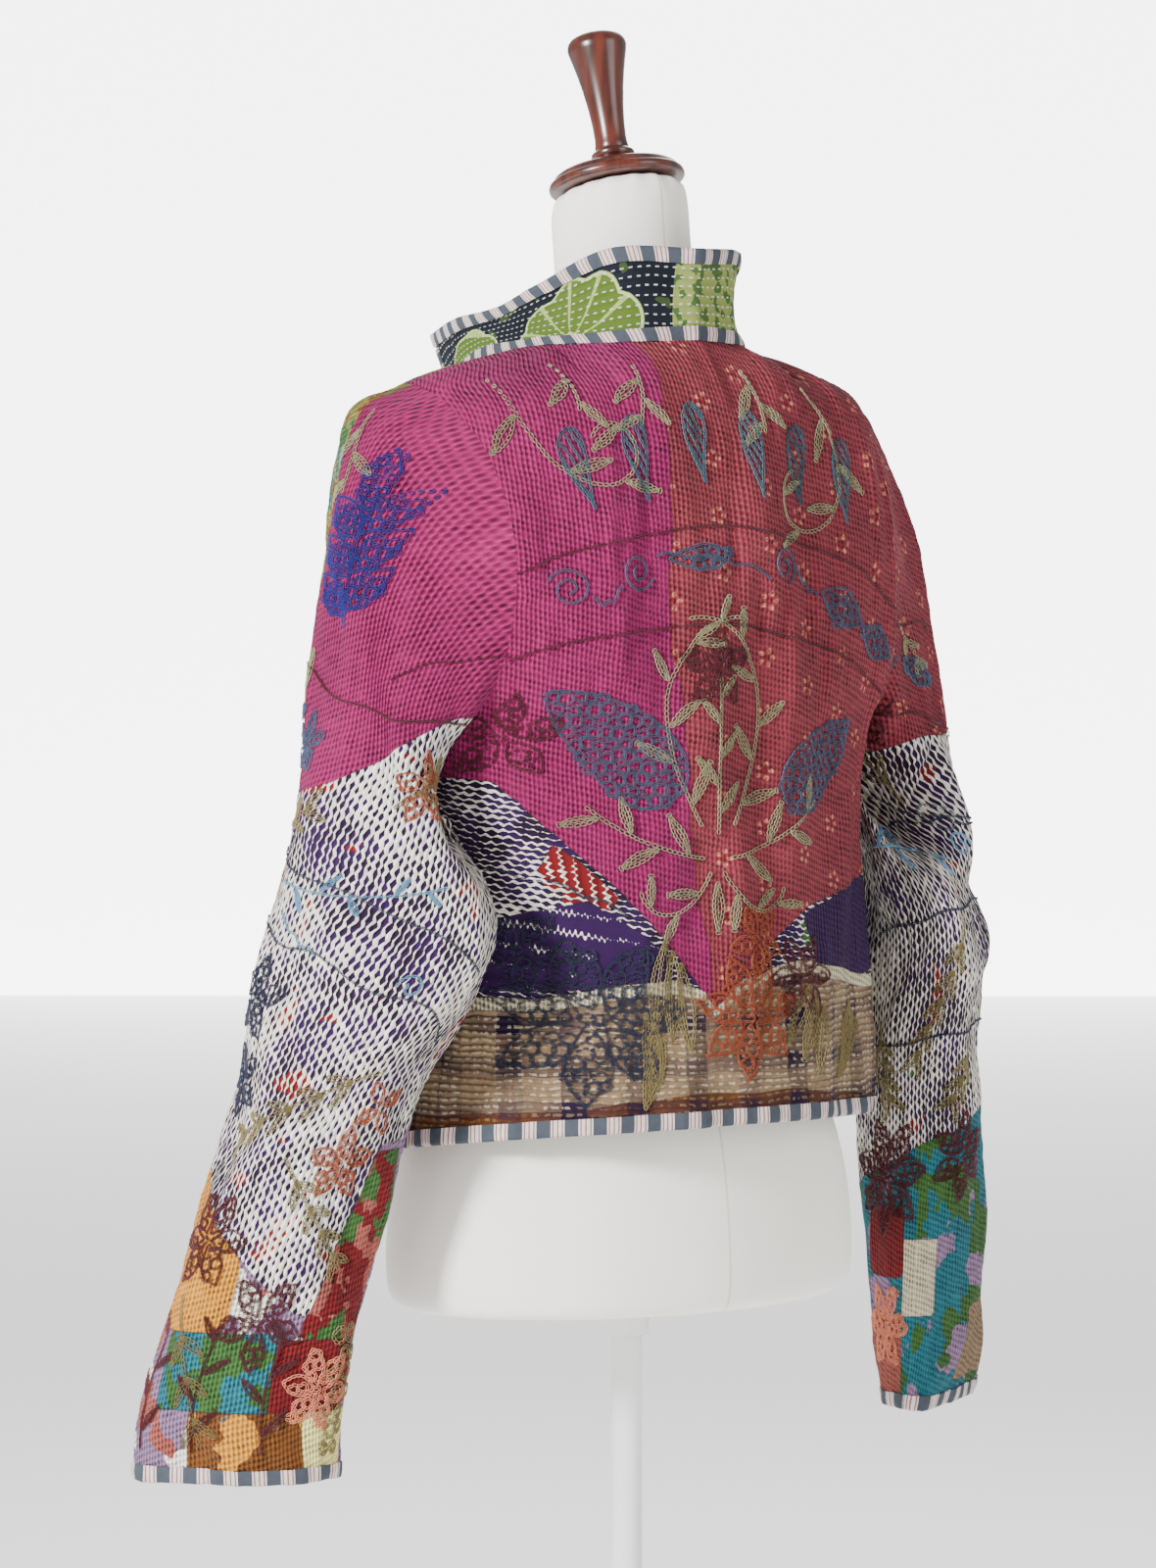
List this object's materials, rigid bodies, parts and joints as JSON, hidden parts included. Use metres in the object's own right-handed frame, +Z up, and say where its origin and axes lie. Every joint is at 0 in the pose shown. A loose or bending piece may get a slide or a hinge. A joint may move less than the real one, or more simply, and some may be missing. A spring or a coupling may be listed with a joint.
{
  "type": "cropped patchwork jacket on a limbless dress form",
  "caption": "Cropped quilted patchwork jacket with long sleeves, a stand collar and striped bindings, open on a limbless dress form with a wooden neck cap, finial and round metal stand.",
  "frame": {"origin": "centre of the round base's underside, on the floor", "axes": "+Z up along the pole; the form and the jacket face -Y; the wearer's left is +X"},
  "size_m": [0.7306, 0.3415, 1.6682],
  "materials": {
    "steel": "satin",
    "linen": "plain woven, matt",
    "wood": "turned and varnished",
    "quilt_back": "quilted cotton patchwork, puckered and matt",
    "quilt_front": "quilted printed cotton, matt",
    "quilt_sleeve": "quilted cotton patchwork, puckered and matt",
    "collar_cloth": "printed and stitched cotton, matt",
    "binding": "striped cotton tape, matt"
  },
  "bodies": {
    "root": {"stand_base": "steel", "stand_pole": "steel", "stand_socket": "steel", "form_body": "linen", "neck_cap": "wood", "finial": "wood", "jacket_back": "quilt_back", "collar": "collar_cloth", "binding_collar_top": "binding", "binding_collar_seam": "binding", "binding_collar_end_left": "binding", "binding_collar_end_right": "binding", "binding_hem": "binding", "jacket_front_left": "quilt_front", "jacket_front_right": "quilt_front", "sleeve_left": "quilt_sleeve", "sleeve_right": "quilt_sleeve", "binding_front_left": "binding", "binding_front_right": "binding", "binding_cuff_left": "binding", "binding_cuff_right": "binding"}
  },
  "joints": []
}
